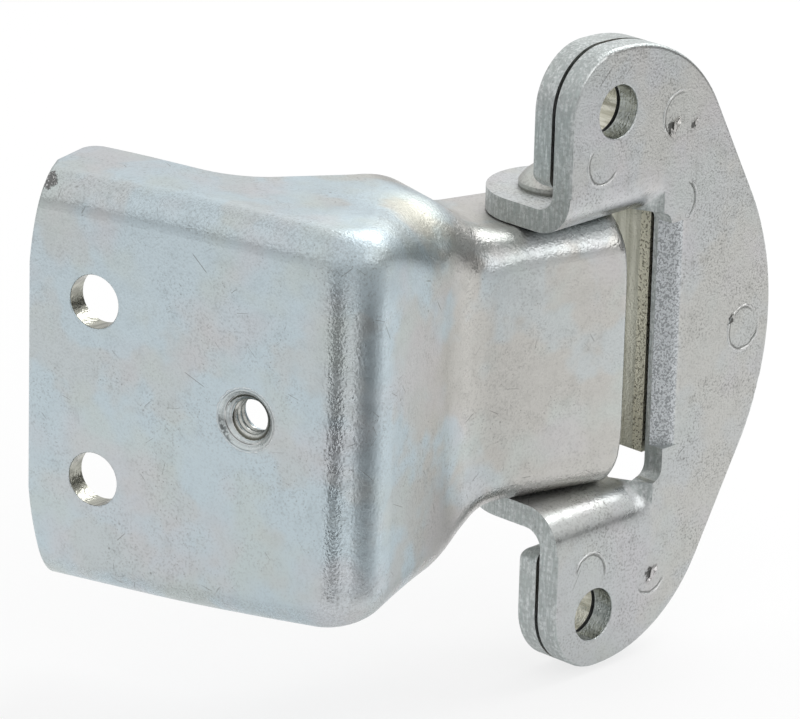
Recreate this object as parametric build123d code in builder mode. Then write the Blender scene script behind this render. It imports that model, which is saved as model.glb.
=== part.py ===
# Car door hinge: a pressed strap turns on an upright pin between the ears of a pillar plate.
# Millimetres, +Z up. The origin is the middle of the pillar bolt pattern on the plate's front face.
import os
from math import atan2, cos, degrees, radians, sin
from build123d import *
from OCP.BRepFilletAPI import BRepFilletAPI_MakeFillet
from OCP.TColgp import TColgp_Array1OfPnt2d
from OCP.gp import gp_Pnt2d

# Sizes shared by the pieces
sheet = 4.8  # thickness of all three pressings
edge_r = 1.0  # rounding of the pillar plate's front edges
back_edge_r = 0.4  # rounding of the backing plate's back edges
hole_edge_r = 0.3  # rounding at the mouths of the clear holes
end_edge_r = 0.8  # rounding of the strap's two ends
end_corner_r = 3.2  # the same on the bends at the neck's end
end_corner_long = 9.0
bolt_hole_r = 5.55  # clear hole for a 3/8 in bolt
run_gap = 0.3  # between faces that pass each other
pin_r = 4.0
pin_fit = 0.02  # pin in the ears
bush_run = 0.04  # pin in the bushes, each side
pin_x = 1.05
pin_y = 17.2

# Sizes of the pillar plate
ear_r = 13.6  # round end of an ear, about the pin
ear_in = 29.2  # inner face of an ear above the mid-plane
bend_in = 4.0  # inside radius of the ear's fold
blend_long = 4.0  # length over which the fold runs out into the flat plate
top_z = 66.85
bottom_z = -65.3
bolt_up_x = 0.85
bolt_up_z = 53.65
shoulder_x = 22.0  # corner of the outline before rounding, upper
heel_x = 20.8  # corner of the outline before rounding, lower
belly_x = 58.4  # corner of the outline before rounding, right
lobe_up_r = 12.8
shoulder_r = 33.0
belly_r = 56.0
heel_r = 33.0
lobe_low_r = 13.0
notch_x = 18.25
notch_r = 3.0
bevel_wide = 3.8
bevel_deep = 3.65
bevel_r = 4.0  # rounding where the bevel meets the front face
bevel_top = 26.5
bevel_bottom = -22.3

# Sizes of the backing plate
weld_gap = 0.9
weld_r = 3.6
relief_x = 26.0
relief_z = 38.6
tongue_top = 29.0
tongue_bottom = -24.5
lip_back = 19.0  # back edge of the lip folded along the tongue
relief_r = 2.5
lug_r = 2.5  # corners of the plate beside the ears
weld_spots = ((20.5, 47.2), (-2.4, 44.0), (30.5, 24.0), (40.5, 2.5), (-2.6, -44.5), (15.5, -47.5))

# Sizes of the door strap, laid out from the pin
strap_turn = -15.0  # angle of the neck from the pillar plate
neck_face = 12.6  # neck's outer face in front of the pin
neck_end = 10.8
valley_x = -28.0
slope_turn = 33.4
slope_long = 43.8
pad_turn = 120.3
pad_long = 77.2
corner_r = 12.0
valley_r = 22.0
press_r = 7.0  # outside radius where the face turns into a flange
scoop_r = 16.0  # the same at its largest, in the upper hollow behind the valley
scoop_x = -29.5
scoop_left = 29.0  # lengths over which the radius grows and falls
scoop_right = 16.0
lower_r = 9.5  # the radius at its largest below, round the corner and the slope
lower_x = -46.0
lower_reach = 32.0
pad_half = 42.9
bush_flange = 1.2
neck_half = ear_in - run_gap
taper_x = -80.0  # where the pad's height starts to fall towards the step
step_top_x = -34.0
taper_drop = 3.8  # how far the height has fallen at the top of the step
step_top = (step_top_x, pad_half - taper_drop)
step_foot_x = -20.0
taper_r = 120.0
step_out_r = 22.0
step_in_r = 12.0
flange_deep = 23.0  # pad flange, from the outer face
waist = (-36.0, 8.8)  # flange's back edge behind the valley
waist_turn = -6.0
waist_r = 30.0
hip_r = 16.0
hock = (-19.0, 16.3)  # flange's back edge behind the pin
hock_r = 16.0
heel_y = 15.8
knuckle_r = 11.8
pad_back_r = 4.0
pad_bow_up_r = 80.0  # rounding of the pad's end towards the upper flange
pad_bow_low_r = 64.0  # the same towards the lower flange
pad_bow_z = 18.0
pad_bow_lean = 20.0
pad_bolt_at = 61.8  # from the corner before rounding
pad_bolt_z = 18.7
tap_at = 26.7
tap_r = 3.97  # tapping size of a 3/8-16 thread
tap_mouth_r = 6.0
tap_collar_r = 6.2  # collar drawn through behind the tapped hole
tap_long = 6.7
tap_z = 0.9

# Sizes of the pin and bushes
head_r = 7.1
head_rim = 1.3
head_high = 5.4
stake_r = 5.2
stake_high = 2.2
bush_wall = 0.8
bush_flange_r = 5.5

# Values that follow from the sizes
bend_out = bend_in + sheet
fold_z = ear_in + bend_out
ear_left = pin_x - ear_r
fold_end = pin_x + (ear_r**2 - (pin_y - bend_out) ** 2) ** 0.5
blend_end = fold_end + blend_long
ear_top = ear_in + sheet
back_y = sheet + weld_gap
bush_r = pin_r + bush_run + bush_wall
dome_high = head_high - head_rim
dome_r = (head_r**2 + dome_high**2) / (2 * dome_high)
mid_z = (top_z + bottom_z) / 2
os.makedirs("parts", exist_ok=True)


# Point where two lines cross, each given by a point and an angle
def cross(p, a, q, b):
    ax, ay = cos(radians(a)), sin(radians(a))
    bx, by = cos(radians(b)), sin(radians(b))
    k = ((q[0] - p[0]) * by - (q[1] - p[1]) * bx) / (ax * by - ay * bx)
    return (p[0] + k * ax, p[1] + k * ay)


# True for the edge of a bolt hole
def is_bolt_hole(edge):
    return abs(edge.radius - bolt_hole_r) < 0.01


# True for the edge of the tapped hole
def is_tap_hole(edge):
    return abs(edge.radius - tap_r) < 0.01


# Depth of an edge behind the pad's outer face
def on_pad(edge):
    return round(pad_plane.to_local_coords(edge.center()).Z, 2)


# True for the faces at the end of the pad
def is_pad_end(face):
    at = pad_plane.to_local_coords(face.center())
    return at.X > pad_long - 8 and abs(face.normal_at(face.center()).dot(pad_plane.x_dir)) > 0.8


# Point at a distance along an angle
def along(p, a, k):
    return (p[0] + k * cos(radians(a)), p[1] + k * sin(radians(a)))


# Outline shared by the pillar plate and the backing plate
plate_corners = (
    (ear_left, top_z, lobe_up_r),
    (shoulder_x, top_z, shoulder_r),
    (belly_x, mid_z - 0.7, belly_r),
    (heel_x, bottom_z, heel_r),
    (ear_left, bottom_z, lobe_low_r),
)
with BuildSketch(Plane.XZ) as plate_outline:
    with BuildLine():
        Polyline([(x, z) for x, z, r in plate_corners], close=True)
    make_face()
    for x, z, r in plate_corners:
        fillet(plate_outline.vertices().sort_by_distance((x, z, 0))[0], r)

# Upper ear with its fold, and the blend where the fold runs out into the flat plate
with BuildPart() as ear:
    with BuildSketch(Plane.YZ.offset(ear_left)):
        with BuildLine():
            Line((0, fold_z), (sheet, fold_z))
            RadiusArc((sheet, fold_z), (bend_out, ear_top), -bend_in)
            Line((bend_out, ear_top), (bend_out, ear_in))
            RadiusArc((bend_out, ear_in), (0, fold_z), bend_out)
        make_face()
    extrude(amount=fold_end - ear_left)
    with BuildSketch(Plane.YZ.offset(fold_end)):
        with BuildLine():
            Line((0, fold_z), (sheet, fold_z))
            RadiusArc((sheet, fold_z), (bend_out, ear_top), -bend_in)
            Line((bend_out, ear_top), (bend_out, ear_in))
            RadiusArc((bend_out, ear_in), (0, fold_z), bend_out)
        make_face()
    with BuildSketch(Plane.YZ.offset(blend_end)):
        with BuildLine():
            Polyline((0, fold_z), (sheet, fold_z), (sheet, ear_in), (0, ear_in), close=True)
        make_face()
    loft(ruled=True)
    with BuildSketch(Plane.XY.offset(ear_in)):
        with Locations(((ear_left + fold_end) / 2, (bend_out + pin_y) / 2)):
            Rectangle(fold_end - ear_left, pin_y - bend_out)
        with Locations((pin_x, pin_y)):
            Circle(ear_r)
        with Locations((pin_x, bend_out - ear_r)):
            Rectangle(4 * ear_r, 2 * ear_r, mode=Mode.SUBTRACT)
    extrude(amount=sheet)

# Pillar plate
with BuildPart() as pillar_plate:
    extrude(plate_outline.sketch, amount=-sheet)
    fillet(pillar_plate.faces().sort_by(Axis.Y)[0].edges(), edge_r)
    with BuildSketch(Plane.XZ):
        with Locations(((ear_left - 5 + notch_x) / 2, 0)):
            RectangleRounded(notch_x - ear_left + 5, 2 * ear_in, notch_r)
        with Locations(((ear_left - 5 + blend_end) / 2, 0)):
            Rectangle(blend_end - ear_left + 5, 2 * fold_z)
        with Locations((bolt_up_x, bolt_up_z), (-bolt_up_x, -bolt_up_z)):
            Circle(bolt_hole_r)
    extrude(amount=-sheet, mode=Mode.SUBTRACT)
    front_rings = pillar_plate.faces().sort_by(Axis.Y)[0].edges().filter_by(GeomType.CIRCLE)
    fillet(front_rings.filter_by(is_bolt_hole), hole_edge_r)
    add(ear.part)
    mirror(ear.part, about=Plane.XY)
    with BuildSketch(Plane.XY.offset(-fold_z)):
        with Locations((pin_x, pin_y)):
            Circle(pin_r + pin_fit)
    extrude(amount=2 * fold_z, mode=Mode.SUBTRACT)
    with BuildSketch(Plane.XY.offset(bevel_bottom)):
        with BuildLine():
            Polyline(
                (notch_x - 1, -1),
                (notch_x + bevel_wide * (1 + 1 / bevel_deep), -1),
                (notch_x, bevel_deep),
                (notch_x - 1, bevel_deep),
                close=True,
            )
        make_face()
    extrude(amount=bevel_top - bevel_bottom, mode=Mode.SUBTRACT)
    bevel_edge = pillar_plate.edges().filter_by(Axis.Z).sort_by_distance((notch_x + bevel_wide, 0, 0))[0]
    fillet(bevel_edge, bevel_r)
pillar_plate.part.label = "pillar_plate"
export_step(pillar_plate.part, "parts/pillar_plate.step")

# Backing plate
with BuildPart() as backing_plate:
    extrude(plate_outline.sketch, amount=-sheet)
    fillet(backing_plate.faces().sort_by(Axis.Y)[-1].edges(), back_edge_r)
    with BuildSketch(Plane.XZ) as relief:
        with Locations(((ear_left - 5 + relief_x) / 2, (relief_z + tongue_top) / 2)):
            Rectangle(relief_x - ear_left + 5, relief_z - tongue_top)
        with Locations(((ear_left - 5 + relief_x) / 2, (tongue_bottom - relief_z) / 2)):
            Rectangle(relief_x - ear_left + 5, relief_z + tongue_bottom)
        with Locations(((ear_left - 5 + notch_x) / 2, (tongue_top + tongue_bottom) / 2)):
            Rectangle(notch_x - ear_left + 5, tongue_top - tongue_bottom)
        fillet(relief.vertices().group_by(Axis.X)[-1], relief_r)
        with Locations((bolt_up_x, bolt_up_z), (-bolt_up_x, -bolt_up_z)):
            Circle(bolt_hole_r)
    extrude(amount=-sheet, mode=Mode.SUBTRACT)
    for z in (relief_z, -relief_z):
        fillet(backing_plate.edges().filter_by(Axis.Y).sort_by_distance((ear_left, sheet / 2, z))[0], lug_r)
    with BuildSketch(Plane.XZ):
        with Locations(*weld_spots):
            Circle(weld_r)
    extrude(amount=weld_gap)
    with BuildSketch(Plane.XZ.offset(-sheet / 2)):
        with Locations((notch_x + sheet / 2, (tongue_top + tongue_bottom) / 2)):
            Rectangle(sheet, tongue_top - tongue_bottom)
    extrude(amount=-(lip_back - back_y - sheet / 2))
backing_plate.part.position = (0, back_y, 0)
backing_plate.part.label = "backing_plate"
export_step(backing_plate.part, "parts/backing_plate.step")

# Hinge pin
with BuildPart() as hinge_pin:
    with BuildSketch(Plane.XZ) as pin_profile:
        with BuildLine():
            Line((0, ear_top + head_high), (0, -ear_top - stake_high))
            Line((0, -ear_top - stake_high), (stake_r - 1, -ear_top - stake_high))
            Line((stake_r - 1, -ear_top - stake_high), (stake_r, -ear_top))
            Line((stake_r, -ear_top), (pin_r, -ear_top))
            Line((pin_r, -ear_top), (pin_r, ear_top))
            Line((pin_r, ear_top), (head_r, ear_top))
            Line((head_r, ear_top), (head_r, ear_top + head_rim))
            RadiusArc((head_r, ear_top + head_rim), (0, ear_top + head_high), -dome_r)
        make_face()
    revolve(axis=Axis.Z)
hinge_pin.part.position = (pin_x, pin_y, 0)
hinge_pin.part.label = "hinge_pin"
export_step(hinge_pin.part, "parts/hinge_pin.step")

# Upper bush, and the lower one as its mirror image
with BuildPart() as upper_bush:
    with BuildSketch(Plane.XY.offset(neck_half - sheet)):
        Circle(bush_r)
    extrude(amount=sheet)
    with BuildSketch(Plane.XY.offset(neck_half - sheet - bush_flange)):
        Circle(bush_flange_r)
    extrude(amount=bush_flange)
    with BuildSketch(Plane.XY.offset(neck_half - sheet - bush_flange)):
        Circle(pin_r + bush_run)
    extrude(amount=sheet + bush_flange, mode=Mode.SUBTRACT)
with BuildPart() as lower_bush:
    add(mirror(upper_bush.part, about=Plane.XY))
upper_bush.part.position = (pin_x, pin_y, 0)
upper_bush.part.label = "upper_bush"
export_step(upper_bush.part, "parts/upper_bush.step")
lower_bush.part.position = (pin_x, pin_y, 0)
lower_bush.part.label = "lower_bush"
export_step(lower_bush.part, "parts/lower_bush.step")

# Door strap: corners of its outer face seen from above, from the neck's end to the pad's end
tip = (neck_end, -neck_face)
valley = (valley_x, -neck_face)
corner = along(valley, slope_turn + 180, slope_long)
pad_end = along(corner, pad_turn, pad_long)
pad_in = pad_turn - 90
pad_back = along(pad_end, pad_in, flange_deep)
pad_end_mid = along(pad_end, pad_in, flange_deep / 2)
hip = cross(pad_back, pad_turn, waist, waist_turn)
heel = (neck_end, heel_y)
# The same corners on the inner face
tip_in = (neck_end + 5, -neck_face + sheet)
valley_in = cross(tip_in, 0, along(valley, slope_turn + 90, sheet), slope_turn)
corner_in = cross(valley_in, slope_turn, along(corner, pad_in, sheet), pad_turn)
pad_end_in = along(corner_in, pad_turn, pad_long + 10)
back_in = cross(pad_end_in, pad_in, tip_in, 90)
# Fall in height from the pad to the neck, on the outer and inner faces
taper_start = (taper_x, pad_half)
step_foot = (step_foot_x, neck_half)
taper_turn = degrees(atan2(step_top[1] - pad_half, step_top[0] - taper_x))
step_turn = degrees(atan2(neck_half - step_top[1], step_foot_x - step_top[0]))
fall_out = (taper_start, step_top, step_foot)
top_in = along(step_top, taper_turn - 90, sheet)
foot_in = along(step_foot, step_turn - 90, sheet)
fall_in = (
    cross((0, pad_half - sheet), 0, top_in, taper_turn),
    cross(top_in, taper_turn, foot_in, step_turn),
    cross((0, neck_half - sheet), 0, foot_in, step_turn),
)
far = 140.0


pad_plane = Plane(
    origin=(*corner, 0),
    x_dir=(cos(radians(pad_turn)), sin(radians(pad_turn)), 0),
    z_dir=(cos(radians(pad_in)), sin(radians(pad_in)), 0),
)
bow_dir = Vector(
    cos(radians(pad_in + pad_bow_lean)),
    sin(radians(pad_in + pad_bow_lean)),
    0,
)


# Point on the pad's bowed end at a height
def bow_at(z):
    r = pad_bow_up_r if z > 0 else pad_bow_low_r
    return (pad_long - r + (r**2 - (abs(z) - pad_bow_z) ** 2) ** 0.5, z)


# Radius between the face and a flange at a point: it swells above in the scoop, and less below
def press_at(p):
    if p.Z > 0:
        reach = scoop_left if p.X < scoop_x else scoop_right
        share = max(0, 1 - abs(p.X - scoop_x) / reach)
        swell = scoop_r - press_r
    else:
        share = max(0, 1 - abs(p.X - lower_x) / lower_reach)
        swell = lower_r - press_r
    return press_r + swell * share * share * (3 - 2 * share)


# The same radius on the inner face
def hollow_at(p):
    return press_at(p) - sheet


# Rounding of the neck's end, growing over both bends
def end_at(p):
    bend = Vector(neck_end, press_r / 3 - neck_face, neck_half - press_r / 3)
    share = max(0, 1 - (Vector(p.X, p.Y, abs(p.Z)) - bend).length / end_corner_long)
    return end_edge_r + (end_corner_r - end_edge_r) * share * share * (3 - 2 * share)


# Solid with a chain of edges rounded to the radius at each point
def round_along(solid, edges, radius_at):
    maker = BRepFilletAPI_MakeFillet(solid.wrapped)
    for edge in edges:
        if maker.Contour(edge.wrapped) == 0:
            maker.Add(edge.wrapped)
    for i in range(1, maker.NbContours() + 1):
        for j in range(1, maker.NbEdges(i) + 1):
            edge = Edge(maker.Edge(i, j))
            law = TColgp_Array1OfPnt2d(1, 7)
            for k in range(7):
                law.SetValue(k + 1, gp_Pnt2d(k / 6, radius_at(edge.position_at(k / 6))))
            maker.SetRadius(law, i, j)
    return Part(maker.Shape())


# Outside of the strap: a plan, a step in height, and rounded edges between the face and the flanges
face_at = (
    along(corner, pad_turn, pad_long / 2),
    corner,
    along(corner, slope_turn, slope_long / 2),
    valley,
    (0, -neck_face),
)
with BuildPart() as strap_outer:
    with BuildSketch() as outer_plan:
        with BuildLine():
            Polyline(tip, heel, hock, waist, hip, pad_back, pad_end, corner, valley, close=True)
        make_face()
        fillet(outer_plan.vertices().sort_by_distance((*corner, 0))[0], corner_r)
        fillet(outer_plan.vertices().sort_by_distance((*valley, 0))[0], valley_r)
        fillet(outer_plan.vertices().sort_by_distance((*hip, 0))[0], hip_r)
        fillet(outer_plan.vertices().sort_by_distance((*waist, 0))[0], waist_r)
        fillet(outer_plan.vertices().sort_by_distance((*hock, 0))[0], hock_r)
        fillet(outer_plan.vertices().sort_by_distance((*heel, 0))[0], knuckle_r)
        fillet(outer_plan.vertices().sort_by_distance((*pad_back, 0))[0], pad_back_r)
    extrude(amount=far / 2, both=True)
    with BuildSketch(Plane.XZ) as outer_high:
        with BuildLine():
            Polyline((-far, 0), (-far, pad_half), *fall_out, (far, neck_half), (far, 0), close=True)
        make_face()
        fillet(outer_high.vertices().sort_by_distance((*fall_out[0], 0))[0], taper_r)
        fillet(outer_high.vertices().sort_by_distance((*fall_out[1], 0))[0], step_out_r)
        fillet(outer_high.vertices().sort_by_distance((*fall_out[2], 0))[0], step_in_r)
        mirror(about=Plane.XZ)
    extrude(amount=far, both=True, mode=Mode.INTERSECT)
    face_edges = ShapeList()
    for x, y in face_at:
        face = strap_outer.faces().sort_by_distance((x, y, 0))[0]
        face_edges += face.edges().filter_by(Axis.Z, reverse=True)
    add(round_along(strap_outer.part, face_edges, press_at), mode=Mode.REPLACE)
    with BuildSketch(pad_plane) as pad_bow:
        for side in (1, -1):
            near = side * pad_bow_z
            past = side * (pad_half + 4)
            with BuildLine():
                ThreePointArc(bow_at(near), bow_at((near + past) / 2), bow_at(past))
                Polyline(bow_at(past), (pad_long + 30, past), (pad_long + 30, near), bow_at(near))
            make_face()
    extrude(amount=2 * flange_deep, dir=bow_dir, mode=Mode.SUBTRACT)
    pad_ends = strap_outer.faces().filter_by(is_pad_end)
    end_edges = ShapeList(e for f in pad_ends for e in f.edges())
    end_edges = ShapeList(e for e in end_edges if on_pad(e) < flange_deep - pad_back_r)
    end_edges = ShapeList(e for e in end_edges if sum(e.is_same(o) for o in end_edges) == 1)
    add(round_along(strap_outer.part, end_edges, end_at), mode=Mode.REPLACE)
# Hollow of the strap, open at the back and at both ends
with BuildPart() as strap_inner:
    with BuildSketch() as inner_plan:
        with BuildLine():
            Polyline(tip_in, back_in, pad_end_in, corner_in, valley_in, close=True)
        make_face()
        fillet(inner_plan.vertices().sort_by_distance((*corner_in, 0))[0], corner_r - sheet)
        fillet(inner_plan.vertices().sort_by_distance((*valley_in, 0))[0], valley_r + sheet)
    extrude(amount=far / 2, both=True)
    with BuildSketch(Plane.XZ) as inner_high:
        with BuildLine():
            ends_in = (far, neck_half - sheet), (far, 0)
            Polyline((-2 * far, 0), (-2 * far, pad_half - sheet), *fall_in, *ends_in, close=True)
        make_face()
        fillet(inner_high.vertices().sort_by_distance((*fall_in[0], 0))[0], taper_r - sheet)
        fillet(inner_high.vertices().sort_by_distance((*fall_in[1], 0))[0], step_out_r - sheet)
        fillet(inner_high.vertices().sort_by_distance((*fall_in[2], 0))[0], step_in_r + sheet)
        mirror(about=Plane.XZ)
    extrude(amount=3 * far, both=True, mode=Mode.INTERSECT)
    hollow_edges = ShapeList()
    for x, y in face_at:
        face = strap_inner.faces().sort_by_distance((x, y, 0))[0]
        hollow_edges += face.edges().filter_by(Axis.Z, reverse=True)
    add(round_along(strap_inner.part, hollow_edges, hollow_at), mode=Mode.REPLACE)

# Door strap
with BuildPart() as door_strap:
    add(strap_outer.part)
    add(strap_inner.part, mode=Mode.SUBTRACT)
    with BuildSketch(pad_plane.offset(sheet / 2)):
        with Locations((tap_at, tap_z)):
            Circle(tap_collar_r)
    extrude(amount=tap_long - sheet / 2)
    with BuildSketch(pad_plane):
        with Locations((pad_bolt_at, pad_bolt_z), (pad_bolt_at, -pad_bolt_z)):
            Circle(bolt_hole_r)
        with Locations((tap_at, tap_z)):
            Circle(tap_r)
    extrude(amount=2 * sheet, mode=Mode.SUBTRACT)
    rings = door_strap.edges().filter_by(GeomType.CIRCLE)
    fillet(rings.filter_by(is_bolt_hole).group_by(on_pad)[0], hole_edge_r)
    rings = door_strap.edges().filter_by(GeomType.CIRCLE)
    chamfer(rings.filter_by(is_tap_hole).group_by(on_pad)[0], tap_mouth_r - tap_r)
    with BuildSketch(Plane.XY.offset(-neck_half - 1)):
        Circle(bush_r)
    extrude(amount=2 * neck_half + 2, mode=Mode.SUBTRACT)
door_strap.part.location = Location((pin_x, pin_y, 0), (0, 0, strap_turn))
door_strap.part.label = "door_strap"
export_step(door_strap.part, "parts/door_strap.step")
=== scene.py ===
import bpy
from math import atan2, radians, sin
from mathutils import Matrix, Vector


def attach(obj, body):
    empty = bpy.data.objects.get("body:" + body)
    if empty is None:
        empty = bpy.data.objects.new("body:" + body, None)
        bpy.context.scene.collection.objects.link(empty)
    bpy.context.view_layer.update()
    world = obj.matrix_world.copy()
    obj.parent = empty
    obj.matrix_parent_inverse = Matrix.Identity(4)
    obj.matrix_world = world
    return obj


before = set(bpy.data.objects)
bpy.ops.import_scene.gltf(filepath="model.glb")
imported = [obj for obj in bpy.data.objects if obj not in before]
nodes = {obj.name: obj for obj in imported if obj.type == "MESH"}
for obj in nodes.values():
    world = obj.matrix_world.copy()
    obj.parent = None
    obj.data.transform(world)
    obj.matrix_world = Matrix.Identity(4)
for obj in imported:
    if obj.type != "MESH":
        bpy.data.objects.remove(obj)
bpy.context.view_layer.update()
bpy.ops.object.select_all(action="DESELECT")
print("frame loaded:", sorted(nodes))


class Sock:  # one socket; sums and products of it add Math nodes
    def __init__(self, tree, out):
        self.tree = tree
        self.out = out

    def node(self, kind, settings=None, sockets=None, give=0):
        n = self.tree.nodes.new(kind)
        for key, value in (settings or {}).items():
            setattr(n, key, value)
        for key, value in (sockets or {}).items():
            if isinstance(value, Sock):
                self.tree.links.new(value.out, n.inputs[key])
            elif isinstance(value, tuple) and n.inputs[key].type == "RGBA":
                n.inputs[key].default_value = (*value, 1.0)
            else:
                n.inputs[key].default_value = value
        return Sock(self.tree, n.outputs[give]) if n.outputs else n

    def other(self, name):  # another output of the same node
        return Sock(self.tree, self.out.node.outputs[name])

    def calc(self, op, *values):
        return self.node("ShaderNodeMath", {"operation": op}, dict(enumerate(values)))

    def vec(self, op, *values, give=0):
        return self.node("ShaderNodeVectorMath", {"operation": op}, dict(enumerate(values)), give)

    def __add__(self, other):
        return self.calc("ADD", self, other)

    def __radd__(self, other):
        return self.calc("ADD", other, self)

    def __sub__(self, other):
        return self.calc("SUBTRACT", self, other)

    def __rsub__(self, other):
        return self.calc("SUBTRACT", other, self)

    def __mul__(self, other):
        return self.calc("MULTIPLY", self, other)

    def __rmul__(self, other):
        return self.calc("MULTIPLY", other, self)

    def __truediv__(self, other):
        return self.calc("DIVIDE", self, other)

    def __gt__(self, other):
        return self.calc("GREATER_THAN", self, other)

    def __abs__(self):
        return self.calc("ABSOLUTE", self)

    def root(self):
        return self.calc("SQRT", self)

    def atMost(self, other):
        return self.calc("MINIMUM", self, other)

    def atLeast(self, other):
        return self.calc("MAXIMUM", self, other)

    def fade(self, low, high):  # 0 at low, 1 at high, either way round
        settings = {"interpolation_type": "SMOOTHSTEP"}
        return self.node("ShaderNodeMapRange", settings, {0: self, 1: low, 2: high, 3: 0.0, 4: 1.0})

    def mix(self, first, second):  # self is the share of the second colour
        return self.node("ShaderNodeMix", {"data_type": "RGBA"}, {0: self, 6: first, 7: second}, 2)

    def minus(self, point):
        return self.vec("SUBTRACT", self, point)

    def dot(self, direction):
        return self.vec("DOT_PRODUCT", self, direction, give=1)

    def length(self):
        return self.vec("LENGTH", self, give=1)

    def awayFrom(self, point):
        return self.vec("DISTANCE", self, point, give=1)

    def fromLine(self, point, direction):  # how far from an axis
        return self.vec("CROSS_PRODUCT", self.minus(point), direction).length()

    def parts(self):
        first = self.node("ShaderNodeSeparateXYZ", {}, {0: self})
        return first, first.other("Y"), first.other("Z")


def newFinish(name):
    mat = bpy.data.materials.new(name)
    mat.use_nodes = True
    tree = mat.node_tree
    tree.nodes.clear()
    place = Sock(tree, tree.nodes.new("ShaderNodeTexCoord").outputs["Object"])
    return mat, place


def closeFinish(mat, place, colour, rough, height):  # height in mm
    bump = place.node("ShaderNodeBump", {}, {"Strength": 1.0, "Distance": 0.001, "Height": height})
    sockets = {"Base Color": colour, "Metallic": 1.0, "Roughness": rough, "Normal": bump}
    shader = place.node("ShaderNodeBsdfPrincipled", {}, sockets)
    place.node("ShaderNodeOutputMaterial", {}, {"Surface": shader})
    return mat


def noise(place, scale, detail=2.0, rough=0.5, turn=(0, 0, 0), stretch=(1, 1, 1)):
    at = place.node("ShaderNodeMapping", {}, {"Vector": place, "Rotation": turn, "Scale": stretch})
    sockets = {"Vector": at, "Scale": scale, "Detail": detail, "Roughness": rough}
    return at.node("ShaderNodeTexNoise", {}, sockets)


def cells(place, scale):  # scattered points, each with its own luck
    cell = place.node("ShaderNodeTexVoronoi", {}, {"Vector": place, "Scale": scale})
    return cell, place.node("ShaderNodeTexWhiteNoise", {}, {"Vector": cell.other("Color")})


def pits(place, scale, size, share):  # round specks; size in cells
    cell, luck = cells(place, scale)
    return cell.fade(size * (0.4 + 0.6 * luck), 0.0) * (luck > 1 - share)


def scratches(place, scale, wide, long, share):  # short straight lines at any angle, in metres
    cell, luck = cells(place, scale)
    away = place.minus(cell.other("Position"))
    tilt = away.vec("NORMALIZE", cell.other("Color").minus((0.5, 0.5, 0.5)))
    across = abs(away.dot(tilt))
    half = long * luck
    return across.fade(wide, wide * 0.3) * away.length().fade(half, half * 0.7) * (luck > 1 - share)


# Zinc plating: drifting tint, grain, pits and handling scratches; scales count per metre
zincLook = {
    "blue": (0.565, 0.655, 0.700), "beige": (0.580, 0.570, 0.540), "drift": 52, "driftShare": 0.9,
    "pink": (0.625, 0.605, 0.620), "green": (0.580, 0.635, 0.610), "tintShare": 0.55,
    "speck": (0.18, 0.18, 0.17), "rough": 0.39, "cloudRough": 0.20, "lineRough": 0.10,
    "fine": 1900, "cloud": 330, "patch": 95, "grain": 0.050, "cloudGrain": 1.2, "sand": 0.20, "cloudSand": 0.35,
    "pitScale": 1150, "pitSize": 0.30, "pitShare": 0.45, "pitDark": 0.65,
    "chipScale": 330, "chipSize": 0.16, "chipShare": 0.5, "chipDark": 0.8,  # chips are fewer and larger
    "scratchShare": 0.30, "scratchWide": 0.00009, "scratchDark": 0.60,
    "shortScale": 260, "shortLength": 0.0017, "longScale": 120, "longLength": 0.0030, "longShare": 0.4,
}


def zincCoat(place, look, warm=None):  # warm runs from 0 at the blue end to 1 at the beige end
    slow = noise(place, look["drift"], 3.0, 0.55).fade(0.40, 0.60)
    warm = slow if warm is None else (warm + (slow - 0.5) * look["driftShare"]).fade(0.05, 0.95)
    colour = warm.mix(look["blue"], look["beige"])
    for tint, scale, turn in (("green", 75, (0.4, 0.9, 0.2)), ("pink", 55, (1.1, 0.3, 0.7))):
        tintAndShade = noise(place, scale, turn=turn).fade(0.48, 0.70) * look["tintShare"]
        colour = tintAndShade.mix(colour, look[tint])
    fine = noise(place, look["fine"], 1.0, 0.6)
    cloud = noise(place, look["cloud"], 3.0, 0.6)
    patch = noise(place, look["patch"], turn=(0.7, 0.2, 0.5)).fade(0.40, 0.62)
    specks = pits(place, look["pitScale"], look["pitSize"], look["pitShare"])
    specks = (specks * (0.25 + 0.75 * patch)).atMost(1.0)
    chips = pits(place, look["chipScale"], look["chipSize"], look["pitShare"] * look["chipShare"]) * patch
    wide, share = look["scratchWide"], look["scratchShare"]
    lines = scratches(place, look["shortScale"], wide, look["shortLength"], share) * patch
    lines = lines + scratches(place, look["longScale"], wide, look["longLength"], share * look["longShare"])
    lines = lines.atMost(1.0)
    sand = fine.fade(0.46, 0.72) + cloud.fade(0.50, 0.75) * look["cloudSand"]
    colour = (sand * (0.5 + patch * 0.7) * look["sand"]).mix(colour, look["speck"])
    colour = (specks * look["pitDark"] + chips * look["chipDark"]).atMost(1.0).mix(colour, look["speck"])
    colour = (lines * look["scratchDark"]).mix(colour, look["speck"])
    rough = look["rough"] + (cloud - 0.5) * look["cloudRough"] + lines * look["lineRough"]
    height = (fine - 0.5) * look["grain"] + (cloud - 0.5) * look["grain"] * look["cloudGrain"]
    return colour, rough, height


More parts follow.
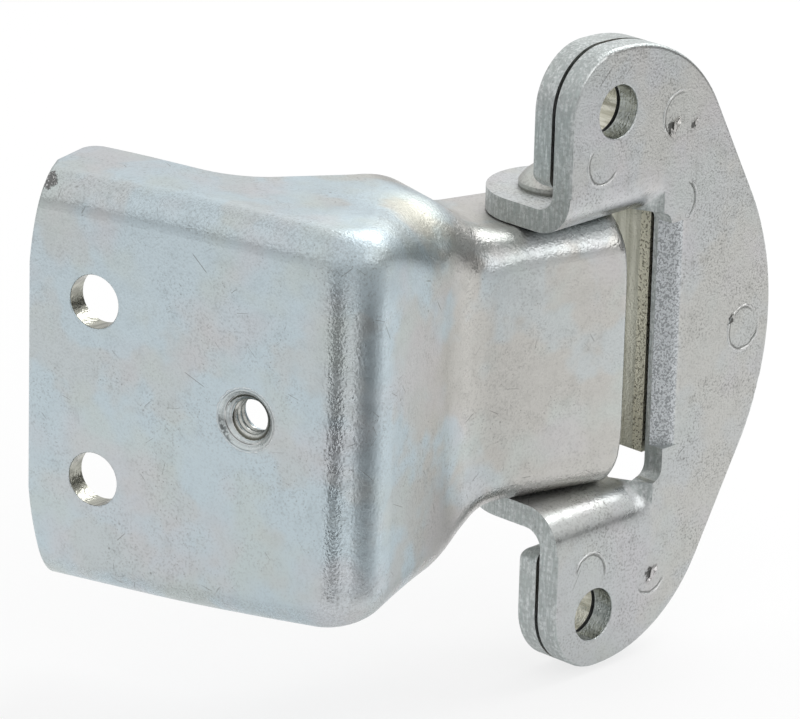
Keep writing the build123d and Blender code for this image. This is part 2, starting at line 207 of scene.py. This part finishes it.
# Door strap: satin on the flats, burnished on the bends
strapLook = {
    **zincLook, "warmX": (-0.066, -0.012),
    "padNormal": (-0.9646, -0.2639, 0.0), "slopeNormal": (0.3156, -0.9489, 0.0),
    "neckNormal": (-0.2588, -0.9659, 0.0), "bendRough": 0.28, "bendGrain": 0.09, "bendSand": 0.18,
    "drawn": (  # the middle of a corner, and how much more satin it is
        ((-0.064, 0.007, 0.039), 0.17), ((-0.040, 0.017, 0.036), 0.17), ((-0.019, 0.014, 0.028), 0.08),
    ),
    "drawnReach": (0.016, 0.005),
    "stepAt": (-0.040, 0.017, 0.036), "stepReach": (0.012, 0.003), "straw": (0.58, 0.58, 0.46), "strawShare": 0.4,
    "boltAt": (-0.0871252, 0.0580605, 0.0187), "boreReach": (0.0060, 0.0057),
    "boreDark": (0.30, 0.30, 0.26), "boreTint": (0.47, 0.47, 0.41), "boreRough": 0.24,
    "nickAt": (-0.0880, 0.0707, 0.0413), "nickSize": 0.0024, "nickRagged": 0.0022,
    "nickDark": (0.17, 0.17, 0.17), "nickPale": (0.60, 0.60, 0.60), "nickDeep": 0.25, "nickGrain": 0.15,
}

# Countersink of the tapped hole in the pad
sinkLook = {
    "at": (-0.0778680, 0.0242030, 0.0009), "normal": strapLook["padNormal"], "rim": 0.0066, "cone": 0.0060,
    "depth": (0.0032, 0.0028), "share": 0.7, "cool": (0.60, 0.66, 0.66), "pale": (0.74, 0.73, 0.71),
    "cuts": ((0.00625, 0.00016, 0.00005), (0.0052, 0.00012, 0.00004)), "cutShare": 0.75,  # radius, fade from, to
    # painted dark reflection on one side of the cone, near its rim, broken up by torn noise
    "reflectionWay": (-0.234, 0.856, -0.460), "reflectionFrom": (0.0046, 0.0060), "reflectionRim": (0.0049, 0.0056), "paintedDarkShare": 0.85,
    # the burr's pale colour is a painted highlight along the rim
    "dark": (0.10, 0.11, 0.11), "burrAndHighlight": (0.85, 0.88, 0.88), "burrWide": 0.00022, "burrHighlightShare": 0.6,
    "sunk": 0.22, "ringHigh": 0.03, "burrHigh": 0.10,
}


def countersink(place, look, colour, height):  # turned rings, dark cut lines, a torn-looking dark patch at the left that is a painted reflection, and a raised burr at the rim whose pale colour is a painted highlight
    away = place.minus(look["at"])
    far = place.fromLine(look["at"], look["normal"])
    sunk = far.fade(look["rim"], look["cone"]) * abs(away.dot(look["normal"])).fade(*look["depth"])
    rings = noise(place.node("ShaderNodeCombineXYZ", {}, {0: far}), 2600, 2.0, 0.6).fade(0.42, 0.58)
    torn = noise(place, 1500, 2.0, 0.6).fade(0.40, 0.56)
    darkReflection = away.dot(look["reflectionWay"]).fade(*look["reflectionFrom"]) * far.fade(*look["reflectionRim"])
    outer, inner = [abs(far - radius).fade(wide, core) for radius, wide, core in look["cuts"]]
    cut = outer.atLeast(inner) * look["cutShare"] * noise(place, 240, 1.0).fade(0.42, 0.56)
    colour = (sunk * look["share"]).mix(colour, rings.mix(look["cool"], look["pale"]))
    # dark tool cuts, and the painted dark reflection on one side
    tool = sunk * (cut + darkReflection * torn * look["paintedDarkShare"]).atMost(1.0)
    colour = tool.mix(colour, look["dark"])
    # raised burr at the rim, coloured pale as a painted highlight
    burrAndHighlight = abs(far + (torn - 0.5) * 0.0002 - look["rim"]).fade(look["burrWide"], 0.00005) * (1 - sunk)
    colour = (burrAndHighlight * look["burrHighlightShare"]).mix(colour, look["burrAndHighlight"])
    height = height - sunk * look["sunk"] + sunk * rings * look["ringHigh"] + burrAndHighlight * look["burrHigh"]
    return colour, height


def strapFinish(look):
    mat, place = newFinish("strapZinc")
    normal = place.other("Normal")
    x, y, z = place.parts()
    onPad = abs(normal.dot(look["padNormal"]))
    flat = onPad.atLeast(abs(normal.parts()[2]))
    for facing in (look["slopeNormal"], look["neckNormal"]):
        flat = flat.atLeast(abs(normal.dot(facing)))
    bend = flat.fade(0.992, 0.950)
    colour, rough, height = zincCoat(place, look, x.fade(*look["warmX"]))
    rough = rough + bend * (look["bendRough"] - look["rough"])
    height = height + bend * (noise(place, 1500, 1.0, 0.6) - 0.5) * look["bendGrain"]  # stretched and grainy
    sand = bend * noise(place, 2300, 1.0, 0.6).fade(0.48, 0.60)
    colour = (sand * look["bendSand"]).mix(colour, look["speck"])
    for spot, satin in look["drawn"]:
        rough = rough + place.awayFrom(spot).fade(*look["drawnReach"]) * satin
    straw = place.awayFrom(look["stepAt"]).fade(*look["stepReach"]) * look["strawShare"]
    colour = straw.mix(colour, look["straw"])
    flip = place.node("ShaderNodeCombineXYZ", {}, {0: x, 1: y, 2: abs(z)})  # both bolt holes at once
    wall = flip.fromLine(look["boltAt"], look["padNormal"]).fade(*look["boreReach"]) * onPad.fade(0.6, 0.3)
    streak = noise(place, 900, stretch=(0.15, 1.0, 1.0)).fade(0.38, 0.62)
    colour = wall.mix(colour, streak.mix(look["boreDark"], look["boreTint"]))
    rough = rough + wall * (look["boreRough"] - look["rough"])
    colour, height = countersink(place, sinkLook, colour, height)
    ragged = place.awayFrom(look["nickAt"]) + (noise(place, 1100) - 0.5) * look["nickRagged"]
    nick = ragged.fade(look["nickSize"], look["nickSize"] * 0.75)  # a chipped corner
    bits = noise(place, 2600, 2.0, 0.6).fade(0.52, 0.60)
    colour = nick.mix(colour, bits.mix(look["nickDark"], look["nickPale"]))
    height = height - nick * (look["nickDeep"] + bits * look["nickGrain"])
    return closeFinish(mat, place, colour, rough, height)


# Sheared edges and bolt holes, the same in both plates
cutLook = {
    "edge": (0.43, 0.46, 0.455), "edgePale": (0.74, 0.77, 0.77), "edgeDark": (0.48, 0.53, 0.52),
    "edgeShare": 0.9, "edgeDots": 0.45, "edgeMottle": 0.03, "edgeLines": 0.02,
    "bolts": (0.00085, 0.05365),  # x, and z both ways
}


def cutEdge(place, look):  # mottled, with lines through the sheet and dark dots
    mottle = noise(place, 1100, 3.0, 0.65).fade(0.30, 0.70)
    lines = noise(place, 1900, stretch=(1.0, 1.0, 0.12)).fade(0.38, 0.62)
    dots = (pits(place, 1700, 0.42, 0.6) + pits(place, 420, 0.20, 0.5)).atMost(1.0)
    colour = mottle.mix(look["edge"], lines.mix(look["edgePale"], look["edgeDark"]))
    colour = (dots * look["edgeDots"]).mix(colour, look["speck"])
    return colour, mottle * look["edgeMottle"] + lines * look["edgeLines"]


def boreWall(place, look):  # where the holes' walls are, and their streaked colour
    x, y, z = place.parts()
    dx, dz = x - look["bolts"][0], abs(z) - look["bolts"][1]
    outer, inner = look["boreReach"]
    wall = (dx * dx + dz * dz).fade(outer ** 2, inner ** 2)
    wall = wall * abs(place.other("Normal").parts()[1]).fade(0.6, 0.3)
    streak = noise(place, 700, stretch=(1.0, 0.12, 1.0)).fade(0.40, 0.60)
    return wall, streak.mix(look["boreDark"], look["boreTint"])


# Pillar plate: sandy matt, with marks of the welding electrodes on its front
plateLook = {
    **zincLook, **cutLook, "warmX": (-0.02, 0.055),
    "blue": (0.565, 0.585, 0.590), "beige": (0.575, 0.575, 0.552),
    "pink": (0.595, 0.577, 0.600), "green": (0.560, 0.588, 0.570),
    "rough": 0.46, "grain": 0.100, "sand": 0.46, "pitShare": 0.60, "scratchShare": 0.25,
    "bendRough": 0.29, "bendEven": 0.65, "edgeRough": 0.03,
    "rings": (  # x, z, radius, arc's middle as x and z, how much of it shows
        (0.0196, 0.0493, 0.0051, -0.85, 0.52, 0.35), (0.0419, -0.0013, 0.0048, -0.9, -0.43, -0.9),
        (0.0206, 0.0306, 0.0049, 1.0, 0.05, 0.55), (-0.0030, 0.0437, 0.0047, -0.6, -0.8, -0.1),
        (-0.0024, -0.0446, 0.0048, 0.25, 0.97, 0.0), (0.0160, -0.0490, 0.0046, 0.1, -1.0, 0.5),
    ),
    "ringWobble": 0.0009, "ridgeWide": 0.00045, "grooveWide": 0.00034, "discSoft": 0.0006,
    "ridgeHigh": 0.06, "grooveDeep": 0.15, "discDeep": 0.015,
    "ridge": (0.80, 0.80, 0.80), "ridgeShare": 0.5, "grooveShare": 0.85, "discShare": 0.18,
    "flashShadows": (  # x, z, size of the painted shadows beside the weld flash, each over a shallow dent
        (0.0172, 0.0470, 0.0017), (0.0238, 0.0463, 0.0010),
        (0.0160, -0.0491, 0.0015), (0.0380, 0.0012, 0.0009),
    ),
    "shadowJagged": 0.0030, "dentAndShadow": (0.09, 0.09, 0.085), "paintedDarkShare": 0.9, "dentDeep": 0.10,
    "bevelNormal": (-0.69, -0.72, 0.0), "bevel": (0.67, 0.70, 0.72), "bevelSpeck": (0.16, 0.17, 0.18),
    "bevelSand": 0.55, "bevelGrain": 0.03,
    "boreReach": (0.0058, 0.0056), "boreDark": (0.36, 0.385, 0.37), "boreTint": (0.50, 0.53, 0.51), "boreRough": 0.26,
}


def electrodeMarks(place, look, colour, height):  # sunk discs, ridged and grooved on one side, and dark spots beside the weld flash that are painted shadow over a shallow dent
    x, y, z = place.parts()
    front = y.fade(0.0006, 0.0002)
    wobble = (noise(place, 420) - 0.5) * look["ringWobble"]
    for atX, atZ, radius, midX, midZ, cut in look["rings"]:
        dx, dz = x - atX, z - atZ
        far = (dx * dx + dz * dz).root()
        shown = ((dx * midX + dz * midZ) / far).fade(cut - 0.12, cut + 0.25)
        rim = far + wobble - radius
        ridge = abs(rim).fade(look["ridgeWide"], 0.0) * shown * front
        groove = abs(rim + look["ridgeWide"]).fade(look["grooveWide"], 0.0) * shown * front
        disc = rim.fade(0.0, -look["discSoft"]) * front
        height = height + ridge * look["ridgeHigh"] - groove * look["grooveDeep"] - disc * look["discDeep"]
        colour = (groove * look["grooveShare"]).mix(colour, look["speck"])
        colour = (ridge * look["ridgeShare"]).mix(colour, look["ridge"])
        colour = (disc * look["discShare"]).mix(colour, look["green"])
    jagged = (noise(place, 800, 2.0, 0.6) - 0.5) * look["shadowJagged"]
    for atX, atZ, size in look["flashShadows"]:
        # painted shadow beside each weld flash sliver, with a shallow dent under it
        dentAndShadow = (place.awayFrom((atX, 0.0, atZ)) + jagged).fade(size, size * 0.7) * front
        colour = (dentAndShadow * look["paintedDarkShare"]).mix(colour, look["dentAndShadow"])
        height = height - dentAndShadow * look["dentDeep"]
    return colour, height


def plateFinish(look):
    mat, place = newFinish("plateZinc")
    normal = place.other("Normal")
    nx, ny, nz = [abs(part) for part in normal.parts()]
    x, y, z = place.parts()
    colour, rough, height = zincCoat(place, look, x.fade(*look["warmX"]))
    colour, height = electrodeMarks(place, look, colour, height)
    rim = nz.fade(0.4, 0.65) * y.fade(0.0054, 0.0050) * abs(z).fade(0.041, 0.043)  # upper and lower ends
    rim = rim.atLeast(nx.fade(0.35, 0.6))
    rim = rim.atLeast(ny.fade(0.4, 0.65) * y.fade(0.0066, 0.0072))  # ends of the ears
    edge, edgeHeight = cutEdge(place, look)
    colour = (rim * look["edgeShare"]).mix(colour, edge)
    height = height + rim * edgeHeight
    bevel = normal.dot(look["bevelNormal"]).fade(0.90, 0.97) * abs(z).fade(0.029, 0.028) * y.fade(0.0001, 0.0003)
    bevel = bevel * x.fade(0.0176, 0.0180) * x.fade(0.0226, 0.0222)
    sand = noise(place, 2300, 1.0, 0.6).fade(0.47, 0.57)
    colour = bevel.mix(colour, (sand * look["bevelSand"]).mix(look["bevel"], look["bevelSpeck"]))
    height = height - bevel * sand * look["bevelGrain"]
    wall, wallColour = boreWall(place, look)
    colour = wall.mix(colour, wallColour)
    bend = ny.fade(0.985, 0.93) * nz.fade(0.985, 0.93) * (1 - rim) * (1 - bevel)
    height = height * (1 - bend * look["bendEven"])
    rough = rough + wall * (look["boreRough"] - look["rough"]) + rim * look["edgeRough"]
    rough = rough + bend * (look["bendRough"] - look["rough"])
    return closeFinish(mat, place, colour, rough, height)


# Backing plate: the punched lip shows a smooth sheared band and a dotted yellow fracture band
backingLook = {
    **zincLook, **cutLook,
    "blue": (0.500, 0.530, 0.520), "beige": (0.520, 0.515, 0.470),
    "rough": 0.44, "grain": 0.090, "sand": 0.40, "pitShare": 0.55, "scratchShare": 0.10,
    "lipX": 0.01825, "lipWide": (0.0016, 0.0009), "lipZ": (0.040, 0.038),
    "bandEnd": 0.0084, "bandSoft": 0.0003, "bandWobble": 0.0008,
    "fracture": (0.66, 0.645, 0.53), "fractureDot": (0.16, 0.15, 0.11), "dotShare": 0.80, "dotDeep": 0.05,
    "shear": (0.40, 0.40, 0.33), "shearPale": (0.58, 0.58, 0.50), "shearPit": (0.20, 0.19, 0.15), "shearPits": 0.5,
    "boreReach": (0.0062, 0.0060), "boreDark": (0.42, 0.41, 0.33), "boreTint": (0.66, 0.65, 0.56), "boreRough": 0.25,
}


def backingFinish(look):
    mat, place = newFinish("backingZinc")
    x, y, z = place.parts()
    colour, rough, height = zincCoat(place, look)
    rim = abs(place.other("Normal").parts()[1]).fade(0.65, 0.4) * y.fade(0.0112, 0.0108)
    colour = (rim * look["edgeShare"]).mix(colour, cutEdge(place, look)[0])
    lip = abs(x - look["lipX"]).fade(*look["lipWide"]) * abs(z).fade(*look["lipZ"])
    across = y + (noise(place, 260) - 0.5) * look["bandWobble"]
    rugged = across.fade(look["bandEnd"] + look["bandSoft"], look["bandEnd"] - look["bandSoft"])
    dots = (noise(place, 1700, 1.0, 0.6).fade(0.54, 0.62) + pits(place, 600, 0.36, 0.8)).atMost(1.0)
    drawn = noise(place, 520, 3.0, 0.6, stretch=(1.0, 1.0, 0.06)).fade(0.35, 0.65)
    torn = (dots * look["dotShare"]).mix(look["fracture"], look["fractureDot"])
    smooth = drawn.mix(look["shear"], look["shearPale"])
    smooth = (pits(place, 900, 0.30, 0.4) * look["shearPits"]).mix(smooth, look["shearPit"])
    colour = lip.mix(colour, rugged.mix(smooth, torn))
    height = height - lip * rugged * dots * look["dotDeep"]
    wall, wallColour = boreWall(place, look)
    colour = wall.mix(colour, wallColour)
    rough = rough + wall * (look["boreRough"] - look["rough"])
    return closeFinish(mat, place, colour, rough, height)


# Hinge pin: turned steel, with painted shade where the head meets the ear
pinLook = {
    **zincLook,
    "blue": (0.560, 0.565, 0.550), "beige": (0.580, 0.570, 0.530), "rough": 0.40, "grain": 0.080, "sand": 0.34,
    "axis": (0.00105, 0.0172), "turned": 1900, "turnedHigh": 0.010,
    "rimZ": 0.0345, "rimSoft": 0.0002, "rimReach": (0.0062, 0.0068), "headShade": (0.16, 0.16, 0.14), "headShadeShare": 0.75,
}


def pinFinish(look):
    mat, place = newFinish("pinSteel")
    x, y, z = place.parts()
    colour, rough, height = zincCoat(place, look)
    dx, dy = x - look["axis"][0], y - look["axis"][1]
    far = (dx * dx + dy * dy).root()
    turned = noise(place.node("ShaderNodeCombineXYZ", {}, {0: far, 1: z}), look["turned"]).fade(0.40, 0.60)
    height = height + turned * look["turnedHigh"]
    # painted shade in a ring where the head's rim meets the ear
    tintAndShade = z.fade(look["rimZ"] + look["rimSoft"], look["rimZ"] - look["rimSoft"]) * far.fade(*look["rimReach"])
    colour = (tintAndShade * look["headShadeShare"]).mix(colour, look["headShade"])
    return closeFinish(mat, place, colour, rough, height)


# Bushes: sintered bronze
bronzeLook = {
    **zincLook,
    "blue": (0.43, 0.33, 0.17), "beige": (0.48, 0.37, 0.20), "pink": (0.47, 0.34, 0.20), "green": (0.40, 0.34, 0.18),
    "speck": (0.14, 0.10, 0.05), "rough": 0.38, "pitShare": 0.6, "scratchShare": 0.1,
}


def coatFinish(name, look):  # the coat alone
    mat, place = newFinish(name)
    return closeFinish(mat, place, *zincCoat(place, look))


plateZinc = plateFinish(plateLook)
bushBronze = coatFinish("bushBronze", bronzeLook)
finishes = {
    "door_strap": strapFinish(strapLook), "pillar_plate": plateZinc, "backing_plate": backingFinish(backingLook),
    "hinge_pin": pinFinish(pinLook), "upper_bush": bushBronze, "lower_bush": bushBronze,
}
for nodeName, finish in finishes.items():
    slots = nodes[nodeName].data.materials
    slots.clear()
    slots.append(finish)
print("finishes set:", len(finishes))


def pick(test):  # in edit mode: select the vertices whose place passes the test
    bpy.ops.mesh.select_all(action="DESELECT")
    bpy.ops.object.mode_set(mode="OBJECT")
    for v in bpy.context.object.data.vertices:
        v.select = test(v.co)
    bpy.ops.object.mode_set(mode="EDIT")


def takeUp(piece):  # select it alone
    bpy.ops.object.select_all(action="DESELECT")
    piece.select_set(True)
    bpy.context.view_layer.objects.active = piece


def settle(piece, turn):  # puts the place into the mesh
    piece.matrix_world = turn
    takeUp(piece)
    bpy.ops.object.transform_apply(location=True, rotation=True, scale=True)
    piece.select_set(False)


def copies(first, name, spots):  # the first piece at the first spot, then copies, each with its own mesh
    shape = first.data.copy()
    for k, spot in enumerate(spots):
        piece = first
        if k:
            piece = first.copy()
            piece.data = shape.copy()
            bpy.context.collection.objects.link(piece)
        piece.name = "%s%d" % (name, k + 1)
        yield k, piece, spot


# Thread of the tapped hole in the pad
thread = {
    "mouth": (-0.0778680, 0.0242030, 0.0009), "inward": (0.96455742, 0.26387305, 0.0),
    "pitch": 0.0015875, "root": 0.00410, "crest": 0.00352, "rootWide": 0.84, "crestWide": 0.16,
    "turns": 3.3, "steps": 48, "starts": 0.0008, "startTurn": 0.6, "startSunk": 0.00008,
    "sink": 0.0060, "proud": 0.00032, "bite": 0.0001,  # cone's radius at the face, crest above it, root below it
}
threadLook = {
    **zincLook, "blue": (0.62, 0.63, 0.60), "beige": (0.68, 0.67, 0.62), "rough": 0.26, "grain": 0.02,
    # painted shade for the grooves: its colour, its share and the depth over which it fades in
    "grooveShadeColour": (0.07, 0.07, 0.05), "grooveShadeShare": 0.9, "grooveShadeDepth": (0.00036, 0.00012),
}
bpy.ops.mesh.primitive_plane_add(size=1.0, rotation=(radians(90), 0, 0))  # the tooth's section, in X and Z
padThread = bpy.context.object
padThread.name = "padThread"
bpy.ops.object.transform_apply(location=False, rotation=True, scale=True)
middle = (thread["root"] + thread["crest"]) / 2
bpy.ops.object.mode_set(mode="EDIT")
bpy.ops.mesh.select_all(action="SELECT")
bpy.ops.transform.resize(value=(thread["root"] - thread["crest"], 1.0, thread["pitch"] * thread["rootWide"]))
bpy.ops.transform.translate(value=(middle, 0, 0))
pick(lambda co: co.x < middle)
bpy.ops.transform.resize(value=(1.0, 1.0, thread["crestWide"]))  # crest narrower than root
bpy.ops.object.mode_set(mode="OBJECT")
bpy.ops.object.modifier_add(type="SCREW")
screw = padThread.modifiers[-1]
screw.axis = "Z"
screw.angle = radians(360) * thread["turns"]
screw.screw_offset = thread["pitch"] * thread["turns"]
screw.steps = screw.render_steps = round(thread["steps"] * thread["turns"])
screw.use_smooth_shade = False
bpy.ops.object.modifier_apply(modifier=screw.name)
bpy.ops.object.mode_set(mode="EDIT")
bpy.ops.mesh.select_all(action="SELECT")
bpy.ops.mesh.remove_doubles(threshold=0.000001)
bpy.ops.mesh.fill_holes(sides=6)  # both ends
bpy.ops.mesh.normals_make_consistent(inside=False)
bpy.ops.object.mode_set(mode="OBJECT")
for v in padThread.data.vertices:  # the first turn runs out on the countersink
    far = v.co.xy.length
    cone = thread["sink"] - thread["starts"] - v.co.z
    grown = min(1.0, max(0.0, v.co.z / thread["pitch"] / thread["startTurn"]))  # its start has no step
    if far > middle:
        reach = max(cone + thread["bite"], thread["root"])
    else:
        reach = max(cone - thread["proud"] * grown + thread["startSunk"] * (1 - grown), thread["crest"])
    v.co.x *= reach / far
    v.co.y *= reach / far
bpy.ops.object.shade_smooth_by_angle(angle=radians(25))
inward = Vector(thread["inward"])
aim = inward.to_track_quat("Z", "Y").to_matrix().to_4x4()
settle(padThread, Matrix.Translation(Vector(thread["mouth"]) + inward * thread["starts"]) @ aim)
threadSteel, place = newFinish("threadSteel")
colour, rough, height = zincCoat(place, threadLook)
cone = (thread["sink"] - place.minus(thread["mouth"]).dot(thread["inward"])).atLeast(thread["root"])
shadedGroove = (cone - place.fromLine(thread["mouth"], thread["inward"])).fade(*threadLook["grooveShadeDepth"])  # painted shade in the grooves, darkest at their root
colour = (shadedGroove * threadLook["grooveShadeShare"]).mix(colour, threadLook["grooveShadeColour"])
padThread.data.materials.append(closeFinish(threadSteel, place, colour, rough, height))
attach(padThread, "door")
print("thread cut:", len(padThread.data.polygons), "faces")

# Slivers of weld flash standing on the plate's front
flash = {
    "long": 0.0036, "wide": 0.0013, "thick": 0.0008, "waist": -0.0003, "lip": -0.0004, "standY": -0.00002,
    "ends": ((1, 0.25, 0.0006), (-1, 0.4, 0.0003)),  # which, how narrow, how far it leans
    "spots": (  # x, z, turn in degrees, size
        (0.0182, 0.0476, 28.0, 1.0), (0.0172, 0.0456, -38.0, 0.75), (0.0243, 0.0470, 25.0, 0.45),
        (0.0168, -0.0487, 30.0, 0.95), (0.0156, -0.0503, 62.0, 0.5), (0.0385, 0.0019, -32.0, 0.5),
    ),
}
flashLook = {**zincLook, "blue": (0.34, 0.35, 0.34), "beige": (0.52, 0.51, 0.49), "rough": 0.24, "grain": 0.06}
bpy.ops.mesh.primitive_cube_add(size=1.0)
sliver = bpy.context.object
bpy.ops.object.mode_set(mode="EDIT")
bpy.ops.mesh.select_all(action="SELECT")
bpy.ops.transform.resize(value=(flash["wide"], flash["thick"], flash["long"]))
bpy.ops.mesh.subdivide(number_cuts=3)
half = flash["long"] / 2
for end, narrow, lean in flash["ends"]:
    pick(lambda co: co.z * end > half * 0.75)
    bpy.ops.transform.resize(value=(narrow, narrow, 1.0), center_override=(0, 0, 0))
    bpy.ops.transform.translate(value=(lean, 0, 0))
pick(lambda co: abs(co.z) < half * 0.1)
bpy.ops.transform.translate(value=(flash["waist"], 0, 0))  # a bent waist
pick(lambda co: co.y < -flash["thick"] * 0.4 and co.x > 0)
bpy.ops.transform.translate(value=(0, flash["lip"], 0))  # one raised lip
bpy.ops.object.mode_set(mode="OBJECT")
bpy.ops.object.modifier_add(type="SUBSURF")
rounding = sliver.modifiers[-1]
rounding.levels = rounding.render_levels = 1
bpy.ops.object.modifier_apply(modifier=rounding.name)
bpy.ops.object.shade_smooth_by_angle(angle=radians(40))
sliver.data.materials.append(coatFinish("weldFlashSteel", flashLook))
for k, piece, (atX, atZ, turn, size) in copies(sliver, "weldFlash", flash["spots"]):
    stand = Matrix.Translation((atX, flash["standY"], atZ))
    settle(piece, stand @ Matrix.Rotation(radians(turn), 4, "Y") @ Matrix.Scale(size, 4))
    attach(piece, "pillar")
print("weld flash set:", len(flash["spots"]))

# Ridges that the welding electrodes raised on the plate's front, at the rings of its finish
weld = {
    "radius": 0.0048, "wide": 0.00034, "high": 0.00018, "around": 96, "section": 8,
    "taper": 0.35, "endShare": 0.12, "even": 0.78, "uneven": 0.22, "waves": 9,
}
bpy.ops.mesh.primitive_torus_add(major_radius=weld["radius"], minor_radius=weld["wide"],
                                 major_segments=weld["around"], minor_segments=weld["section"],
                                 rotation=(radians(90), 0, 0))
ring = bpy.context.object
bpy.ops.object.transform_apply(location=False, rotation=True, scale=True)
bpy.ops.object.mode_set(mode="EDIT")
bpy.ops.mesh.select_all(action="SELECT")
bpy.ops.transform.resize(value=(1.0, weld["high"] / weld["wide"], 1.0))
bpy.ops.object.mode_set(mode="OBJECT")
ring.data.materials.append(plateZinc)
for k, piece, (atX, atZ, radius, midX, midZ, cut) in copies(ring, "weldRing", plateLook["rings"]):
    takeUp(piece)
    middleWay = Vector((midX, 0, midZ)).normalized()
    bpy.ops.object.mode_set(mode="EDIT")
    pick(lambda co: Vector((co.x, 0, co.z)).normalized().dot(middleWay) < cut)
    bpy.ops.mesh.delete(type="VERT")  # only an arc was raised
    bpy.ops.mesh.select_all(action="SELECT")
    bpy.ops.mesh.fill_holes(sides=weld["section"])
    bpy.ops.mesh.normals_make_consistent(inside=False)
    bpy.ops.object.mode_set(mode="OBJECT")
    for v in piece.data.vertices:  # uneven, and thin towards both ends
        out = Vector((v.co.x, 0, v.co.z)).normalized()
        line = out * weld["radius"]
        thin = min(1.0, weld["endShare"] + (out.dot(middleWay) - cut) / weld["taper"])
        wave = weld["even"] + weld["uneven"] * sin(weld["waves"] * atan2(out.z, out.x) + k)
        v.co = line + (v.co - line) * thin * wave
    bpy.ops.object.shade_smooth_by_angle(angle=radians(50))
    settle(piece, Matrix.Translation((atX, 0, atZ)) @ Matrix.Scale(radius / weld["radius"], 4))
    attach(piece, "pillar")
print("weld ridges set:", len(plateLook["rings"]))

# Floor, world, lamps and two small dark cards that only reflections see
studio = {
    "floorZ": -0.0665, "floorSize": 8.0, "floorTone": (0.86, 0.86, 0.86), "cameraShare": 0.75, "glossyShare": 0.36,
    "far": 1.0, "near": 0.50, "farShade": 0.62,  # reflections see a sheet of limited size
    "darkSide": (0.65, -0.76, 0.0), "darkFade": (0.55, 0.90), "darker": 0.50,  # the room's front right
    "horizon": 0.60, "dome": 0.92, "rise": (0.10, 0.42), "zenith": (0.88, 1.0), "zenithDim": 0.25,
    "cardTone": (0.07, 0.07, 0.07),
}
lamps = {  # place, aim, size, watts
    "softRight": ((0.66, 0.06, 0.75), (0, 0, 0), 0.78, 4.3),
    "softFront": ((0.28, -1.0, 0.42), (0, 0, 0), 0.68, 1.3),
}
cards = {  # middle, width, height, turn about Z in degrees
    "cardCorner": ((-0.050, -0.078, -0.020), 0.064, 0.092, 0.0),
    "cardPad": ((-0.139, -0.048, -0.020), 0.029, 0.092, -53.0),
}
white = (1.0, 1.0, 1.0)
bpy.ops.mesh.primitive_plane_add(size=studio["floorSize"], location=(0, 0, studio["floorZ"]))
floor = bpy.context.object
floor.name = "studioFloor"
floorMat, place = newFinish("paleFloor")
toCamera = place.node("ShaderNodeLightPath")
glossy = toCamera.other("Is Glossy Ray")
spread = place.length().fade(studio["far"], studio["near"])
side = place.vec("NORMALIZE", place).dot(studio["darkSide"]).fade(*studio["darkFade"])
tone = 1 - glossy * (1 - spread) * (1 - studio["farShade"] + side * studio["darker"])
lit = place.node("ShaderNodeBsdfDiffuse", {}, {"Color": tone.mix((0.0, 0.0, 0.0), studio["floorTone"])})
glow = place.node("ShaderNodeEmission", {}, {"Color": white, "Strength": 1.0})
share = toCamera * studio["cameraShare"] + glossy * spread * studio["glossyShare"]
surface = place.node("ShaderNodeMixShader", {}, {0: share, 1: lit, 2: glow})
place.node("ShaderNodeOutputMaterial", {}, {"Surface": surface})
floor.data.materials.append(floorMat)

world = bpy.data.worlds.new("studioWorld")
bpy.context.scene.world = world
world.use_nodes = True
world.node_tree.nodes.clear()
sky = Sock(world.node_tree, world.node_tree.nodes.new("ShaderNodeTexCoord").outputs["Generated"])
up = sky.parts()[2]
horizon = studio["horizon"] - sky.dot(studio["darkSide"]).fade(*studio["darkFade"]) * studio["darker"]
level = horizon + up.fade(*studio["rise"]) * (studio["dome"] - horizon)
level = level - up.fade(*studio["zenith"]) * studio["zenithDim"]
dome = sky.node("ShaderNodeBackground", {}, {"Color": white, "Strength": level})
back = sky.node("ShaderNodeBackground", {}, {"Color": white, "Strength": 1.0})
seen = sky.node("ShaderNodeMixShader", {}, {0: sky.node("ShaderNodeLightPath"), 1: dome, 2: back})
sky.node("ShaderNodeOutputWorld", {}, {"Surface": seen})

for name, (at, aim, size, watts) in lamps.items():
    bpy.ops.object.light_add(type="AREA", location=at)
    lamp = bpy.context.object
    lamp.name = name
    lamp.data.shape = "DISK"
    lamp.data.size = size
    lamp.data.energy = watts
    lamp.rotation_euler = (Vector(aim) - Vector(at)).to_track_quat("-Z", "Y").to_euler()

cardMat, place = newFinish("darkCard")
dim = place.node("ShaderNodeEmission", {}, {"Color": studio["cardTone"], "Strength": 1.0})
place.node("ShaderNodeOutputMaterial", {}, {"Surface": dim})
for name, (at, wide, high, turn) in cards.items():
    bpy.ops.mesh.primitive_plane_add(size=1.0, location=at, rotation=(radians(90), 0, radians(turn)))
    card = bpy.context.object
    card.name = name
    card.scale = (wide, high, 1.0)
    card.data.materials.append(cardMat)
    card.visible_camera = card.visible_diffuse = card.visible_shadow = card.visible_transmission = False
print("studio lit:", len(lamps), "lamps")

view = {"at": (-0.85040681, -0.7606042, 0.40637223), "turn": (70.39337, -1.46017, -45.57994), "lens": 270.0}
bpy.ops.object.camera_add(location=view["at"], rotation=[radians(a) for a in view["turn"]])
cam = bpy.context.object
cam.data.sensor_fit = "HORIZONTAL"
cam.data.sensor_width = 36.0
cam.data.lens = view["lens"]
cam.data.clip_end = 30.0
bpy.context.scene.camera = cam
bpy.context.scene.view_settings.view_transform = "Standard"
